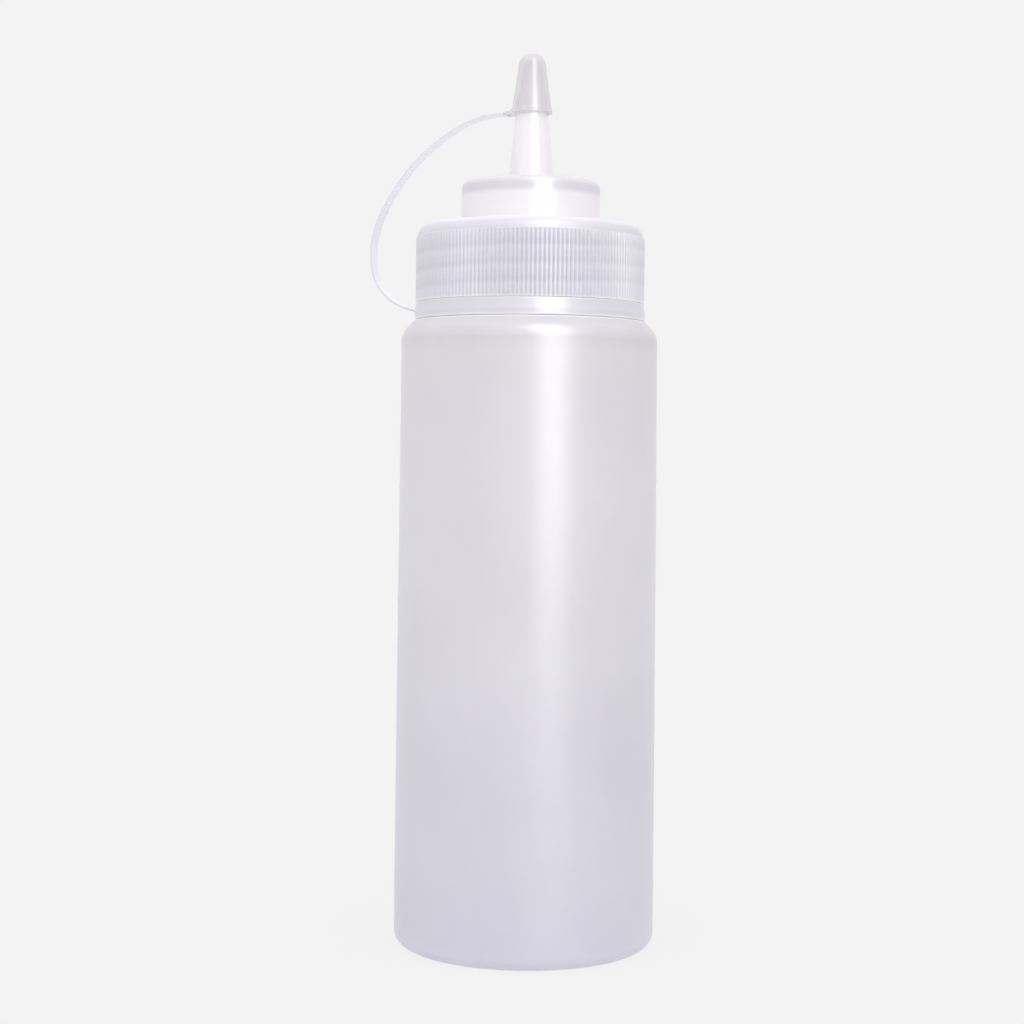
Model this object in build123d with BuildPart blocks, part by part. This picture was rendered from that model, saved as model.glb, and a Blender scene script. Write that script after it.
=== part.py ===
from build123d import *
import os
from math import cos, pi, sin

os.makedirs("parts", exist_ok=True)

# Squeeze bottle for sauces, standing on its base. Millimetres, +Z up, origin at
# the centre of the base on the bottle's axis. The tether arcs round the -X side.

# ---- driving dimensions ----
body_radius = 31.75          # widest part of the blow-moulded wall, near the base
wall = 1.3                   # side wall thickness
overall_height = 216.5       # base to the top of the tip cover

shoulder_flat_z = 151.9      # flat at the foot of the neck
shoulder_flat_radius = 27.6

neck_radius = 25.0           # outside of the neck between its threads
neck_bore_radius = 23.6
neck_top_z = 172.2
thread_pitch = 4.23          # six threads to the inch
thread_depth = 0.8
bottle_thread_start_z = 160.6
bottle_thread_turns = 1.75
cap_thread_turns = 2.25
cap_thread_drop = 1.4        # cap thread bears on the underside of the bottle's

cap_lip_z = 152.3            # bottom edge of the cap
cap_lip_radius = 27.15       # lip that the tether ring is snapped over
skirt_collar_radius = 26.85  # plain collar that the tether ring turns on
rib_bottom_z = 156.15
cap_top_z = 174.85
cap_rib_radius = 27.75       # over the gripping ribs
cap_root_radius = 27.42      # between the ribs
cap_bore_radius = 26.05      # inside of the skirt between its threads
cap_ceiling_z = 173.3
rib_count = 165

boss_radius = 16.9
boss_top_z = 185.4
boss_wall = 1.5

nozzle_foot_radius = 5.5     # at the boss top
nozzle_tip_radius = 3.38
nozzle_tip_z = 206.8
orifice_radius = 1.6

ring_bottom_z = 151.96       # tether ring, from the ribs down over the lip
ring_top_z = 156.1
ring_radius = 27.98
ring_bore_radius = 26.93
ring_recess_radius = 27.23   # recess that clears the cap's lip

cover_lip_z = 202.1
cover_grip_top_z = 207.0

ear_width = 3.4              # ear on the cover that holds the strap
strap_width = 3.0
strap_thickness = 0.7
strap_angle = 155.0          # plan angle of the strap's plane, from +X

# ---- bottle: base, wall, shoulder and open threaded neck in one skin ----
with BuildPart() as bottle_body:
    with BuildSketch(Plane.XZ):
        with BuildLine():
            Polyline((0, 2.4), (22.5, 1.5), (25.6, 0.35), (26.6, 0), (28.45, 0))
            Spline(
                (28.45, 0), (30.75, 0.97), (31.72, 3.3),
                tangents=[(1, 0), (0, 1)],
            )
            Polyline((31.72, 3.3), (body_radius, 14), (31.42, 84), (31.05, 147.0))
            Spline(
                (31.05, 147.0), (30.82, 148.2), (30.3, 149.25), (29.45, 150.3),
                (28.65, 151.1), (shoulder_flat_radius, shoulder_flat_z),
                tangents=[(-0.02, 1), (-1, 0.25)],
            )
            Polyline(
                (shoulder_flat_radius, shoulder_flat_z), (neck_radius + 0.5, shoulder_flat_z),
                (neck_radius, shoulder_flat_z + 0.5), (neck_radius, neck_top_z - 0.4),
                (neck_radius - 0.4, neck_top_z), (neck_bore_radius + 0.3, neck_top_z),
                (neck_bore_radius, neck_top_z - 0.3), (neck_bore_radius, 151.2),
            )
            ThreePointArc((neck_bore_radius, 151.2), (23.83, 150.63), (24.4, 150.4))
            Line((24.4, 150.4), (26.3, 150.3))
            ThreePointArc((26.3, 150.3), (28.7, 148.7), (29.8, 145.6))
            Line((29.8, 145.6), (29.8, 144.0))
            Polyline((29.8, 144.0), (30.12, 84), (body_radius - wall, 14), (30.4, 4.6))
            Spline(
                (30.4, 4.6), (29.5, 2.45), (27.6, 1.75),
                tangents=[(-0.02, -1), (-1, 0)],
            )
            Polyline((27.6, 1.75), (26.4, 1.95), (22.5, 3.1), (0, 4.0), (0, 2.4))
        make_face()
    revolve(axis=Axis.Z)
    # male thread round the neck
    with BuildLine():
        neck_helix = Helix(
            pitch=thread_pitch,
            height=thread_pitch * bottle_thread_turns,
            radius=neck_radius,
            center=(0, 0, bottle_thread_start_z),
        )
    with BuildSketch(Plane(origin=neck_helix @ 0, x_dir=(1, 0, 0), z_dir=(0, 1, 0))):
        with BuildLine():
            Polyline(
                (-0.5, -1.43), (thread_depth, -0.4), (thread_depth, 0.4), (-0.5, 1.43), close=True
            )
        make_face()
    sweep(path=neck_helix, is_frenet=True)
bottle_body.part.label = "bottle_body"
export_step(bottle_body.part, "parts/bottle_body.step")

# ---- screw cap: ribbed skirt, raised boss and pouring nozzle in one moulding ----
with BuildPart() as screw_cap:
    # gripping ribs cut as shallow vees round the skirt
    rib_points = []
    for index in range(rib_count):
        step = 2 * pi / rib_count
        for share, radius in (
            (0.0, cap_rib_radius),
            (0.36, cap_rib_radius),
            (0.68, cap_root_radius),
        ):
            turn = (index + share) * step
            rib_points.append((radius * cos(turn), radius * sin(turn)))
    with BuildSketch(Plane.XY.offset(rib_bottom_z)):
        with BuildLine():
            Polyline(*rib_points, close=True)
        make_face()
    extrude(amount=cap_top_z - rib_bottom_z)
    # round the top of the skirt over into the flat top
    with BuildSketch(Plane.XZ):
        with BuildLine():
            Polyline((0, 140), (40, 140), (40, 190), (0, 190), close=True)
        make_face()
        with BuildLine():
            Polyline((0, 150), (28.2, 150), (28.2, 171.3), (cap_root_radius, 171.9))
            Spline(
                (cap_root_radius, 171.9), (26.75, 173.75), (24.9, cap_top_z),
                tangents=[(-0.05, 1), (-1, 0.05)],
            )
            Polyline((24.9, cap_top_z), (0, cap_top_z), (0, 150))
        make_face(mode=Mode.SUBTRACT)
    revolve(axis=Axis.Z, mode=Mode.SUBTRACT)
    # plain collar and snap lip below the ribs
    with BuildSketch(Plane.XZ):
        with BuildLine():
            Polyline(
                (0, cap_lip_z), (cap_lip_radius - 0.3, cap_lip_z),
                (cap_lip_radius, cap_lip_z + 0.3), (cap_lip_radius, cap_lip_z + 0.6),
                (skirt_collar_radius, cap_lip_z + 0.9), (skirt_collar_radius, rib_bottom_z + 0.5),
                (0, rib_bottom_z + 0.5), close=True,
            )
        make_face()
    revolve(axis=Axis.Z)
    # boss and nozzle rising from the flat top
    with BuildSketch(Plane.XZ):
        with BuildLine():
            Polyline(
                (0, cap_ceiling_z + 0.5), (boss_radius + 0.9, cap_ceiling_z + 0.5),
                (boss_radius + 0.9, cap_top_z), (boss_radius + 0.2, cap_top_z + 0.35),
                (boss_radius, cap_top_z + 1.1), (boss_radius - 0.12, boss_top_z - 1.5),
            )
            Spline(
                (boss_radius - 0.12, boss_top_z - 1.5),
                (boss_radius - 0.55, boss_top_z - 0.45),
                (boss_radius - 1.6, boss_top_z),
                tangents=[(-0.05, 1), (-1, 0.05)],
            )
            Polyline(
                (boss_radius - 1.6, boss_top_z), (nozzle_foot_radius + 0.5, boss_top_z),
                (nozzle_foot_radius, boss_top_z + 0.5), (nozzle_tip_radius + 0.1, nozzle_tip_z - 0.4),
                (nozzle_tip_radius - 0.3, nozzle_tip_z), (0, nozzle_tip_z), (0, cap_ceiling_z + 0.5),
            )
        make_face()
    revolve(axis=Axis.Z)
    # hollow: threaded skirt, boss and tapering nozzle bore down to the orifice
    with BuildSketch(Plane.XZ):
        with BuildLine():
            Polyline(
                (0, cap_lip_z - 1), (cap_bore_radius + 0.25, cap_lip_z - 1),
                (cap_bore_radius + 0.25, cap_lip_z), (cap_bore_radius, cap_lip_z + 0.5),
                (cap_bore_radius, cap_ceiling_z - 0.6), (cap_bore_radius - 0.6, cap_ceiling_z),
                (boss_radius - boss_wall, cap_ceiling_z),
                (boss_radius - boss_wall, boss_top_z - boss_wall - 1.0),
                (boss_radius - boss_wall - 1.0, boss_top_z - boss_wall),
                (nozzle_foot_radius - 1.0, boss_top_z - boss_wall),
                (nozzle_foot_radius - 1.4, boss_top_z + 0.6),
                (nozzle_tip_radius - 1.1, nozzle_tip_z - 2.2), (orifice_radius, nozzle_tip_z - 1.2),
                (orifice_radius, nozzle_tip_z + 1), (0, nozzle_tip_z + 1), close=True,
            )
        make_face()
    revolve(axis=Axis.Z, mode=Mode.SUBTRACT)
    # female thread inside the skirt
    with BuildLine():
        cap_helix = Helix(
            pitch=thread_pitch,
            height=thread_pitch * cap_thread_turns,
            radius=cap_bore_radius,
            center=(0, 0, bottle_thread_start_z - cap_thread_drop),
        )
    with BuildSketch(Plane(origin=cap_helix @ 0, x_dir=(1, 0, 0), z_dir=(0, 1, 0))):
        with BuildLine():
            Polyline(
                (0.5, -1.3), (-thread_depth, -0.35), (-thread_depth, 0.35), (0.5, 1.3), close=True
            )
        make_face()
    sweep(path=cap_helix, is_frenet=True)
screw_cap.part.label = "screw_cap"
export_step(screw_cap.part, "parts/screw_cap.step")

# ---- gasket: foam ring under the cap's ceiling, on the bottle's rim ----
with BuildPart() as sealing_gasket:
    with BuildSketch(Plane.XY.offset(neck_top_z + 0.02)):
        Circle(cap_bore_radius - 0.75)
        Circle(neck_bore_radius - 1.2, mode=Mode.SUBTRACT)
    extrude(amount=cap_ceiling_z - neck_top_z - 0.04)
sealing_gasket.part.label = "sealing_gasket"
export_step(sealing_gasket.part, "parts/sealing_gasket.step")

# ---- tether ring: band snapped over the cap's lip, turning on its collar ----
with BuildPart() as tether_ring:
    with BuildSketch(Plane.XZ):
        with BuildLine():
            Polyline(
                (ring_recess_radius, ring_bottom_z), (ring_radius - 0.15, ring_bottom_z),
                (ring_radius, ring_bottom_z + 0.25), (ring_radius, ring_bottom_z + 1.5),
                (ring_radius - 0.04, ring_bottom_z + 1.9), (ring_radius - 0.35, ring_top_z - 0.15),
                (ring_radius - 0.48, ring_top_z), (ring_bore_radius, ring_top_z),
                (ring_bore_radius, cap_lip_z + 1.0), (ring_recess_radius, cap_lip_z + 0.7),
                close=True,
            )
        make_face()
    revolve(axis=Axis.Z)
tether_ring.part.label = "tether_ring"
export_step(tether_ring.part, "parts/tether_ring.step")

# upright plane through the axis that the strap's arc lies in
strap_plane = Plane(
    origin=(0, 0, 0),
    x_dir=(cos(strap_angle * pi / 180), sin(strap_angle * pi / 180), 0),
    z_dir=(sin(strap_angle * pi / 180), -cos(strap_angle * pi / 180), 0),
)

# ---- tip cover: tapering closed sleeve pushed over the nozzle ----
with BuildPart() as tip_cover:
    with BuildSketch(Plane.XZ):
        with BuildLine():
            Polyline(
                (4.3, cover_lip_z), (4.85, cover_lip_z), (5.0, cover_lip_z + 0.25),
                (4.98, cover_lip_z + 0.95), (4.86, cover_lip_z + 1.2), (4.74, cover_lip_z + 1.7),
                (4.43, 205.9), (4.07, 208.2), (3.72, 211.0), (3.4, 213.4),
            )
            Spline(
                (3.4, 213.4), (3.05, 214.8), (2.1, 216.0), (0, overall_height),
                tangents=[(-0.15, 1), (-1, 0)],
            )
            Polyline((0, overall_height), (0, 215.3))
            Spline(
                (0, 215.3), (1.6, 214.8), (2.35, 213.4),
                tangents=[(1, 0), (0.15, -1)],
            )
            Polyline(
                (2.35, 213.4), (2.9, 208.6), (3.2, cover_grip_top_z), (3.64, 206.3),
                (4.08, cover_lip_z + 0.6), (4.3, cover_lip_z),
            )
        make_face()
    revolve(axis=Axis.Z)
    # small ear that the strap is moulded to
    with BuildSketch(strap_plane):
        with BuildLine():
            Polyline(
                (4.55, 202.32), (5.3, 202.02), (6.95, 201.95), (6.95, 202.65), (5.4, 203.0),
                (4.55, 203.5), close=True,
            )
        make_face()
    extrude(amount=ear_width / 2, both=True)
tip_cover.part.label = "tip_cover"
export_step(tip_cover.part, "parts/tip_cover.step")

# ---- tether strap: thin flat ribbon arching from the ring out and up to the cover ----
with BuildPart() as tether_strap:
    with BuildSketch(strap_plane):
        with BuildLine():
            strap_line = Spline(
                (7.1, 202.3), (9.2, 202.35), (13.4, 201.85), (18.6, 200.2), (23.1, 197.8),
                (27.5, 194.9), (31.9, 191.2), (35.4, 187.3), (38.8, 182.8), (41.4, 178.0),
                (42.8, 174.2), (43.35, 170.0), (43.0, 165.6), (41.7, 161.9), (38.8, 158.5),
                (35.4, 156.35), (31.6, 155.1), (27.45, 154.6),
            )
        trace(line_width=strap_thickness)
    extrude(amount=strap_width / 2, both=True)
tether_strap.part.label = "tether_strap"
export_step(tether_strap.part, "parts/tether_strap.step")
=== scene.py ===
import bpy
import math
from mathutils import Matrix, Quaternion, Vector


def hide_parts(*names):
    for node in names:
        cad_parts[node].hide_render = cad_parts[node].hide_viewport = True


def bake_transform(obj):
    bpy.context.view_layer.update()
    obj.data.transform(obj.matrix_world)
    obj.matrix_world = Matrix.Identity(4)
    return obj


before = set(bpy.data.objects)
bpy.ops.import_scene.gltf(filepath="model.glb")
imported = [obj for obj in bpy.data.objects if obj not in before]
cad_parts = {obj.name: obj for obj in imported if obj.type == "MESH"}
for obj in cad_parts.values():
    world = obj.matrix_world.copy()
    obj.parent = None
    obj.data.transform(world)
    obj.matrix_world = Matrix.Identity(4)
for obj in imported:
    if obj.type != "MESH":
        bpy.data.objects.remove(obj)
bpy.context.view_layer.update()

# ------------------------------------------------------------------ materials


def srgb(r, g, b):
    """Linear colour of an 8-bit sRGB one."""
    channels = []
    for value in (r, g, b):
        value = value / 255
        channels.append(value / 12.92 if value <= 0.04045 else ((value + 0.055) / 1.055) ** 2.4)
    return (*channels, 1.0)


class Nodes:
    """Short calls for building one material's node tree."""

    def __init__(self, name):
        self.material = bpy.data.materials.new(name)
        self.material.use_nodes = True
        self.tree = self.material.node_tree
        self.tree.nodes.clear()
        self.output = self.add("ShaderNodeOutputMaterial")

    def add(self, kind, **settings):
        node = self.tree.nodes.new(kind)
        for key, value in settings.items():
            setattr(node, key, value)
        return node

    def link(self, source, target):
        self.tree.links.new(source, target)

    def position(self):
        """The point in the body's own frame, so the pattern moves with the piece."""
        return self.add("ShaderNodeTexCoord").outputs["Object"]

    def noise(self, vector, scale, detail=3.0, rough=0.5, stretch=(1, 1, 1)):
        mapping = self.add("ShaderNodeMapping")
        mapping.inputs["Scale"].default_value = stretch
        self.link(vector, mapping.inputs["Vector"])
        node = self.add("ShaderNodeTexNoise")
        node.inputs["Scale"].default_value = scale
        node.inputs["Detail"].default_value = detail
        node.inputs["Roughness"].default_value = rough
        self.link(mapping.outputs["Vector"], node.inputs["Vector"])
        return node.outputs["Fac"]

    def ramp(self, value, low, high, to_low, to_high, smooth=False):
        node = self.add("ShaderNodeMapRange")
        if smooth:
            node.interpolation_type = "SMOOTHSTEP"
        node.inputs["From Min"].default_value = low
        node.inputs["From Max"].default_value = high
        node.inputs["To Min"].default_value = to_low
        node.inputs["To Max"].default_value = to_high
        self.link(value, node.inputs["Value"])
        return node.outputs["Result"]

    def mix(self, factor, first, second, blend_type="MIX"):
        node = self.add("ShaderNodeMix", data_type="RGBA", blend_type=blend_type)
        for socket, value in (("A", first), ("B", second)):
            target = [s for s in node.inputs if s.name == socket and s.type == "RGBA"][0]
            if isinstance(value, tuple):
                target.default_value = value
            else:
                self.link(value, target)
        if isinstance(factor, float):
            node.inputs[0].default_value = factor
        else:
            self.link(factor, node.inputs[0])
        return [s for s in node.outputs if s.type == "RGBA"][0]

    def math(self, operation, first, second=0.0):
        node = self.add("ShaderNodeMath", operation=operation)
        for index, value in enumerate((first, second)):
            if isinstance(value, (int, float)):
                node.inputs[index].default_value = value
            else:
                self.link(value, node.inputs[index])
        return node.outputs[0]

    def multiply(self, first, second):
        return self.mix(1.0, first, second, "MULTIPLY")

    def height(self, vector):
        node = self.add("ShaderNodeSeparateXYZ")
        self.link(vector, node.inputs[0])
        return node.outputs["Z"]


# thread pitch and start, and the heights where the painted thread shade fades in and out
THREAD_PITCH = 0.00423
THREAD_START = 0.1606
THREAD_LOW = 0.1585
THREAD_HIGH = 0.1705
RIBS_TOP = 0.1728


def painted_thread_shade(n, where, up, cloud, strength):
    """Painted shade: soft dark bands where the threads inside the skirt take light from the wall in
    front.
    """
    split = n.add("ShaderNodeSeparateXYZ")
    n.link(where, split.inputs[0])
    turn = n.math("DIVIDE", n.math("ARCTAN2", split.outputs["Y"], split.outputs["X"]), 2 * math.pi)
    rise = n.math("DIVIDE", n.math("SUBTRACT", up, THREAD_START), THREAD_PITCH)
    phase = n.math("SUBTRACT", rise, turn)
    phase = n.math("ADD", phase, n.ramp(cloud, 0.3, 0.7, -0.06, 0.06))
    wave = n.math("SINE", n.math("MULTIPLY", phase, 2 * math.pi))
    fine = n.math("SINE", n.math("MULTIPLY", phase, 4 * math.pi))
    both = n.math("ADD", wave, n.math("MULTIPLY", fine, 0.55))
    reach = n.math(
        "MULTIPLY",
        n.ramp(up, THREAD_LOW - 0.0015, THREAD_LOW + 0.0015, 0.0, 1.0, True),
        n.ramp(up, THREAD_HIGH - 0.0012, THREAD_HIGH + 0.0012, 1.0, 0.0, True),
    )
    shade = n.math("MULTIPLY", n.ramp(both, -1.2, 1.2, 0.0, 1.0), reach)
    return n.mix(shade, srgb(255, 255, 255), srgb(*[255 * (1 - strength)] * 3))


def milky_plastic(
    name, tint_and_painted_light, roughness, glow, see_through=None, cloudy=0.03, relief_depth=0.00003, thread_shade=0.0
):
    """Frosted polyethylene: a milky wall that scatters light, with faint clouding and scuffs.

    The colour list holds (height in metres, colour) pairs from the bottom up: the plastic's tint
    with painted light and shade, the wall drawn lighter or darker by how much plastic stands
    behind it. see_through is a list of (height, share). The thread strength is how strongly
    painted shade of the screw threads behind the wall shows as soft helical bands.
    """
    n = Nodes(name)
    where = n.position()
    up = n.height(where)
    shader = n.add("ShaderNodeBsdfPrincipled")
    cloud = n.noise(where, 42.0, 4.0, 0.55, (1, 1, 0.7))
    wander = n.ramp(cloud, 0.3, 0.7, -0.00015, 0.00015)
    level = n.math("ADD", up, wander)
    # colour by height: the plastic's tint with painted light and shade blended in
    colour = tint_and_painted_light[0][1]
    for (start, before), (end, after) in zip(tint_and_painted_light, tint_and_painted_light[1:]):
        if before != after:
            colour = n.mix(n.ramp(level, start, end, 0.0, 1.0, True), colour, after)
    # painted shade of the threads behind the skirt wall
    if thread_shade:
        colour = n.multiply(colour, painted_thread_shade(n, where, up, cloud, thread_shade))
    dull = srgb(*[255 * (1 - cloudy)] * 3)
    soft = n.mix(n.ramp(cloud, 0.3, 0.7, 0.0, 1.0), dull, srgb(255, 255, 255))
    n.link(n.multiply(colour, soft), shader.inputs["Base Color"])
    scuff = n.noise(where, 300.0, 3.0, 0.5)
    rough = n.ramp(scuff, 0.3, 0.8, roughness - 0.02, roughness + 0.05)
    if thread_shade:
        rough = n.math("ADD", rough, n.ramp(up, RIBS_TOP, RIBS_TOP + 0.0012, 0.13, 0.0, True))
    n.link(rough, shader.inputs["Roughness"])
    shader.inputs["IOR"].default_value = 1.51
    shader.inputs["Subsurface Weight"].default_value = glow
    shader.inputs["Subsurface Radius"].default_value = (1.0, 0.96, 1.0)
    shader.inputs["Subsurface Scale"].default_value = 0.005
    if relief_depth:
        relief = n.add("ShaderNodeBump")
        relief.inputs["Distance"].default_value = relief_depth
        relief.inputs["Strength"].default_value = 1.0
        n.link(n.noise(where, 60.0, 2.0, 0.5, (1, 1, 0.6)), relief.inputs["Height"])
        n.link(relief.outputs["Normal"], shader.inputs["Normal"])
    if see_through:
        solid = None
        for (start, before), (end, after) in zip(see_through, see_through[1:]):
            part = n.ramp(up, start, end, 1.0 - before, 1.0 - after)
            if solid is None:
                solid = part
            else:
                solid = n.math("ADD", n.math("SUBTRACT", solid, 1.0 - before), part)
        n.link(solid, shader.inputs["Alpha"])
    n.link(shader.outputs[0], n.output.inputs["Surface"])
    return n.material


def foam(name):
    """Closed-cell foam of the sealing ring."""
    n = Nodes(name)
    where = n.position()
    shader = n.add("ShaderNodeBsdfPrincipled")
    cells = n.noise(where, 2200.0, 2.0, 0.5)
    n.link(n.mix(cells, srgb(226, 226, 222), srgb(244, 244, 241)), shader.inputs["Base Color"])
    shader.inputs["Roughness"].default_value = 0.8
    n.link(shader.outputs[0], n.output.inputs["Surface"])
    return n.material


def paint(node, material):
    """Gives a CAD node its material, on all its slots."""
    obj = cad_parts[node]
    for index in range(max(1, len(obj.material_slots))):
        if index >= len(obj.material_slots):
            obj.data.materials.append(material)
        else:
            obj.material_slots[index].material = material


# Painted light and shade by height: darker towards the bottom, painted shade on the shoulder (0.143
# to 0.1513 m) and a painted bright band at 0.1513 to 0.153 m that lightens the crevice under the
# tether ring.
body_plastic = milky_plastic(
    "bottle_plastic",
    [
        (0.000, srgb(206, 204, 219)), (0.004, srgb(206, 204, 218)), (0.03, srgb(209, 206, 220)),
        (0.11, srgb(217, 213, 224)), (0.143, srgb(217, 212, 220)), (0.149, srgb(207, 203, 210)),
        (0.1513, srgb(207, 203, 210)), (0.1518, srgb(250, 248, 252)), (0.1523, srgb(250, 248, 252)),
        (0.1530, srgb(216, 212, 221)), (0.173, srgb(216, 212, 221)),
    ],
    0.34, 0.5,
)
# Painted light: a bright band on the skirt's foot by the tether ring seam (0.150 to 0.1565 m).
# Painted shade: the skirt darker than the boss and nozzle above it, the boss's solid rim darker
# (0.1812 to 0.1866 m), and the threads behind the skirt as helical bands.
cap_plastic = milky_plastic(
    "cap_plastic",
    [
        (0.150, srgb(246, 244, 250)), (0.1562, srgb(246, 244, 250)), (0.1568, srgb(221, 219, 231)),
        (0.1735, srgb(221, 219, 231)), (0.1752, srgb(237, 232, 239)),
        (0.1812, srgb(236, 231, 238)), (0.1830, srgb(210, 206, 214)), (0.1856, srgb(207, 204, 212)),
        (0.1866, srgb(240, 234, 241)), (0.21, srgb(240, 235, 241)),
    ],
    0.32, 0.4, [(0.150, 0.1), (0.1735, 0.1), (0.1765, 0.0), (0.21, 0.0)], 0.01,
    relief_depth=0.0, thread_shade=0.04,
)
# Painted light: bright bands along the ring's bottom and top edges that lighten its seams against the
# shoulder and the cap.
ring_plastic = milky_plastic(
    "ring_plastic",
    [
        (0.1521, srgb(250, 248, 252)), (0.1526, srgb(217, 214, 226)), (0.1555, srgb(217, 214, 225)),
        (0.1560, srgb(246, 244, 250)),
    ],
    0.32, 0.4, None, 0.01, relief_depth=0.0,
)
cover_plastic = milky_plastic(
    "cover_plastic", [(0.200, srgb(226, 222, 227)), (0.217, srgb(216, 213, 218))],
    0.31, 0.0, [(0.200, 0.5), (0.217, 0.5)], 0.0, relief_depth=0.0,
)


def strap_ribbon_plastic(name):
    """Thin clear-milky ribbon, drawn opaque: its wide faces are pale and its cut edges get painted
    shade, greyer than the faces.
    """
    n = Nodes(name)
    where = n.position()
    shader = n.add("ShaderNodeBsdfPrincipled")
    edge = n.add("ShaderNodeAttribute", attribute_name="edge").outputs["Fac"]
    cloud = n.ramp(n.noise(where, 120.0, 2.0), 0.3, 0.7, 0.0, 1.0)
    face = n.mix(cloud, srgb(245, 244, 249), srgb(249, 248, 252))
    # painted shade on the narrow cut edges, where the edge mask is 1
    n.link(n.mix(edge, face, srgb(216, 215, 220)), shader.inputs["Base Color"])
    shader.inputs["Roughness"].default_value = 0.7
    shader.inputs["Specular IOR Level"].default_value = 0.12
    n.link(shader.outputs[0], n.output.inputs["Surface"])
    return n.material


paint("bottle_body", body_plastic)
paint("screw_cap", cap_plastic)
paint("sealing_gasket", foam("gasket_foam"))
paint("tether_ring", ring_plastic)
paint("tip_cover", cover_plastic)

# ------------------------------------------------------------------ tether strap

# the strap's middle line in its own upright plane: distance from the axis and height, in mm
STRAP_LINE = (
    (6.4, 202.3), (7.1, 202.3), (9.2, 202.35), (13.4, 201.85), (18.6, 200.2), (23.1, 197.8),
    (27.5, 194.9), (31.9, 191.2), (35.4, 187.3), (38.8, 182.8), (41.4, 178.0), (42.8, 174.2),
    (43.35, 170.0), (43.0, 165.6), (41.7, 161.9), (38.8, 158.5), (35.4, 156.35), (31.6, 155.1),
    (29.0, 154.7), (27.4, 154.6),
)
STRAP_ANGLE = math.radians(155.0)
STRAP_WIDTH = 0.003
STRAP_THICKNESS = 0.00055
STEPS_PER_POINT = 12
ROOT_STEPS = 28
ROOT_SWELL = 0.35


def smooth_line(points, steps):
    """Points along a Catmull-Rom curve through the given ones."""
    line = []
    ends = [points[0], *points, points[-1]]
    for before, start, end, after in zip(ends, ends[1:], ends[2:], ends[3:]):
        for step in range(steps):
            t = step / steps
            line.append(tuple(
                0.5 * (2 * b + (c - a) * t + (2 * a - 5 * b + 4 * c - d) * t * t
                       + (3 * b - a - 3 * c + d) * t * t * t)
                for a, b, c, d in zip(before, start, end, after)
            ))
    line.append(points[-1])
    return line


def ribbon(name, line, angle, width, thickness):
    """A flat moulded ribbon with small chamfers, swept along a line in an upright plane."""
    out = Vector((math.cos(angle), math.sin(angle), 0))
    across = Vector((-math.sin(angle), math.cos(angle), 0))
    outline = []
    bevel = thickness * 0.12
    for corner, (side, face) in enumerate(((1, 1), (-1, 1), (-1, -1), (1, -1))):
        for step in range(2):
            turn = math.radians(90 * (corner + step))
            outline.append((
                side * (width / 2 - bevel) + bevel * math.cos(turn),
                face * (thickness / 2 - bevel) + bevel * math.sin(turn),
            ))
    vertices, faces = [], []
    for index, (r, z) in enumerate(line):
        r0, z0 = line[max(index - 1, 0)]
        r1, z1 = line[min(index + 1, len(line) - 1)]
        along = Vector((r1 - r0, z1 - z0)).normalized()
        normal = out * -along.y + Vector((0, 0, along.x))
        centre = out * (r * 0.001) + Vector((0, 0, z * 0.001))
        # the ribbon thickens a little into its two roots
        near_end = max(0.0, 1 - min(index, len(line) - 1 - index) / ROOT_STEPS)
        thick = 1 + ROOT_SWELL * near_end
        for a, b in outline:
            vertices.append(centre + across * a + normal * (b * thick))
    count = len(outline)
    for index in range(len(line) - 1):
        for k in range(count):
            a = index * count + k
            b = index * count + (k + 1) % count
            faces.append((a, b, b + count, a + count))
    faces.append(tuple(reversed(range(count))))
    faces.append(tuple(range((len(line) - 1) * count, len(line) * count)))
    mesh = bpy.data.meshes.new(name)
    mesh.from_pydata([tuple(v) for v in vertices], [], faces)
    mesh.update()
    for polygon in mesh.polygons:
        polygon.use_smooth = False
    # 1 on the narrow edges and 0 on the wide faces: where the ribbon material paints shade
    edge = mesh.attributes.new("edge", "FLOAT", "POINT")
    for index in range(len(vertices)):
        on_rim = abs(outline[index % count][0]) > width / 2 - 0.00001
        edge.data[index].value = 1.0 if on_rim else 0.0
    made = bpy.data.objects.new(name, mesh)
    bpy.context.collection.objects.link(made)
    return made


strap_line = smooth_line(STRAP_LINE, STEPS_PER_POINT)
strap = ribbon("strap_ribbon", strap_line, STRAP_ANGLE, STRAP_WIDTH, STRAP_THICKNESS)
strap.data.materials.append(strap_ribbon_plastic("strap_plastic"))
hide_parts("tether_strap")
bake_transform(strap)

# ------------------------------------------------------------- studio and camera

BACKDROP = srgb(243, 243, 243)
FRONT_LIGHT = 1.68
SIDE_LIGHT = 0.55


def emitter(name, location, target, width, height, power):
    """A soft rectangular studio light aimed at a point."""
    data = bpy.data.lights.new(name, "AREA")
    data.shape = "RECTANGLE"
    data.size = width
    data.size_y = height
    data.energy = power
    data.color = (1.0, 0.985, 1.0)
    lamp = bpy.data.objects.new(name, data)
    lamp.location = location
    aim = Vector(target) - Vector(location)
    lamp.rotation_mode = "QUATERNION"
    lamp.rotation_quaternion = aim.to_track_quat("-Z", "Y")
    bpy.context.collection.objects.link(lamp)
    return lamp


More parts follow.
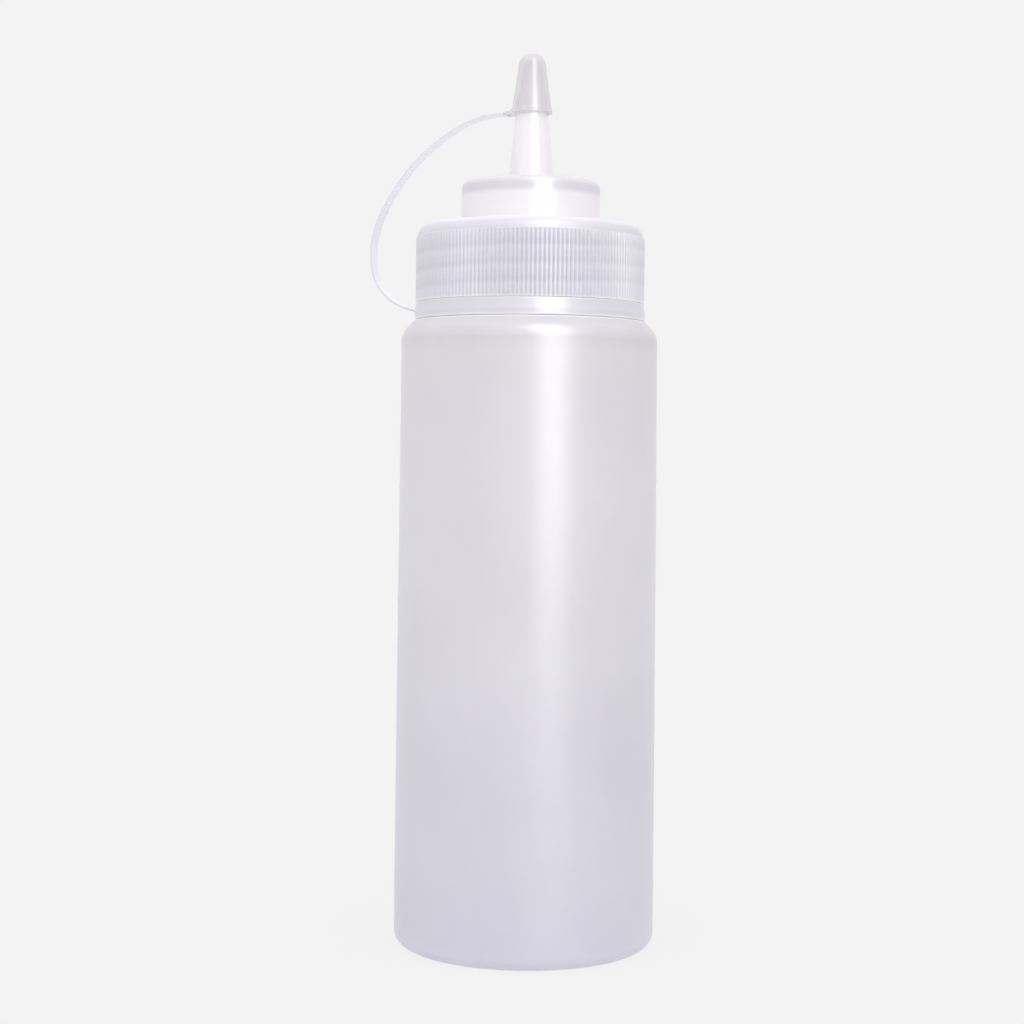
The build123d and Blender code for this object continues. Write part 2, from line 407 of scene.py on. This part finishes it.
def studio_world():
    """Backdrop as bright as the floor, with stronger light from the front and less from the sides."""
    made = bpy.data.worlds.new("studio")
    bpy.context.scene.world = made
    made.use_nodes = True
    tree = made.node_tree
    tree.nodes.clear()

    def add(kind, **settings):
        node = tree.nodes.new(kind)
        for key, value in settings.items():
            setattr(node, key, value)
        return node

    way = add("ShaderNodeTexCoord")
    split = add("ShaderNodeSeparateXYZ")
    tree.links.new(way.outputs["Generated"], split.inputs[0])
    depth = add("ShaderNodeMapRange", interpolation_type="SMOOTHSTEP")
    depth.inputs["From Min"].default_value = 0.1
    depth.inputs["From Max"].default_value = 0.92
    depth.inputs["To Min"].default_value = FRONT_LIGHT
    depth.inputs["To Max"].default_value = 1.0
    tree.links.new(split.outputs["Y"], depth.inputs["Value"])
    side = add("ShaderNodeMath", operation="ABSOLUTE")
    tree.links.new(split.outputs["X"], side.inputs[0])
    flag = add("ShaderNodeMapRange", interpolation_type="SMOOTHSTEP")
    flag.inputs["From Min"].default_value = 0.45
    flag.inputs["From Max"].default_value = 0.98
    flag.inputs["To Min"].default_value = 1.0
    flag.inputs["To Max"].default_value = SIDE_LIGHT
    tree.links.new(side.outputs[0], flag.inputs["Value"])
    strength = add("ShaderNodeMath", operation="MULTIPLY")
    tree.links.new(depth.outputs["Result"], strength.inputs[0])
    tree.links.new(flag.outputs["Result"], strength.inputs[1])
    seen = add("ShaderNodeLightPath").outputs["Is Camera Ray"]
    shown = add("ShaderNodeMix", data_type="FLOAT")
    shown.inputs["B"].default_value = 1.0
    tree.links.new(seen, shown.inputs["Factor"])
    tree.links.new(strength.outputs[0], shown.inputs["A"])
    background = add("ShaderNodeBackground")
    background.inputs["Color"].default_value = BACKDROP
    tree.links.new(shown.outputs["Result"], background.inputs["Strength"])
    tree.links.new(background.outputs[0], add("ShaderNodeOutputWorld").inputs["Surface"])


studio_world()

# pale floor, lit from within so that it meets the background without a line
floor_mesh = bpy.data.meshes.new("floor")
floor_mesh.from_pydata([(-6, -6, 0), (6, -6, 0), (6, 6, 0), (-6, 6, 0)], [], [(0, 1, 2, 3)])
floor = bpy.data.objects.new("floor", floor_mesh)
bpy.context.collection.objects.link(floor)
pale = Nodes("pale_floor")
matt = pale.add("ShaderNodeBsdfDiffuse")
matt.inputs["Color"].default_value = srgb(220, 220, 220)
even = pale.add("ShaderNodeEmission")
even.inputs["Color"].default_value = BACKDROP
blend = pale.add("ShaderNodeMixShader")
blend.inputs[0].default_value = 0.08
pale.link(even.outputs[0], blend.inputs[1])
pale.link(matt.outputs[0], blend.inputs[2])
pale.link(blend.outputs[0], pale.output.inputs["Surface"])
floor_mesh.materials.append(pale.material)

# tall softbox to the right of the camera, and its top panel: the streaks on the round faces
for label, place, aim, width, height, power in (
    ("streak_softbox", (0.33, -0.87, 0.44), (0, 0, 0.12), 0.42, 0.84, 13.0),
    ("top_softbox", (0.24, -0.62, 0.98), (0, 0, 0.15), 0.3, 0.5, 12.0),
):
    emitter(label, place, aim, width, height, power).visible_diffuse = False

CAMERA_PITCH = math.radians(1.909)
CAMERA_ROLL = 0.0105
camera_data = bpy.data.cameras.new("photo_camera")
camera_data.sensor_width = 36.0
camera_data.lens = 72.17
camera_data.clip_start = 0.01
camera_data.clip_end = 20.0
camera = bpy.data.objects.new("photo_camera", camera_data)
camera.location = (-0.0038, -0.5009, 0.12214)
camera.rotation_mode = "QUATERNION"
facing = Vector((0, math.cos(CAMERA_PITCH), -math.sin(CAMERA_PITCH)))
level = facing.to_track_quat("-Z", "Y")
camera.rotation_quaternion = level @ Quaternion((0, 0, 1), CAMERA_ROLL)
bpy.context.collection.objects.link(camera)
bpy.context.scene.camera = camera

bpy.context.scene.view_settings.view_transform = "Standard"
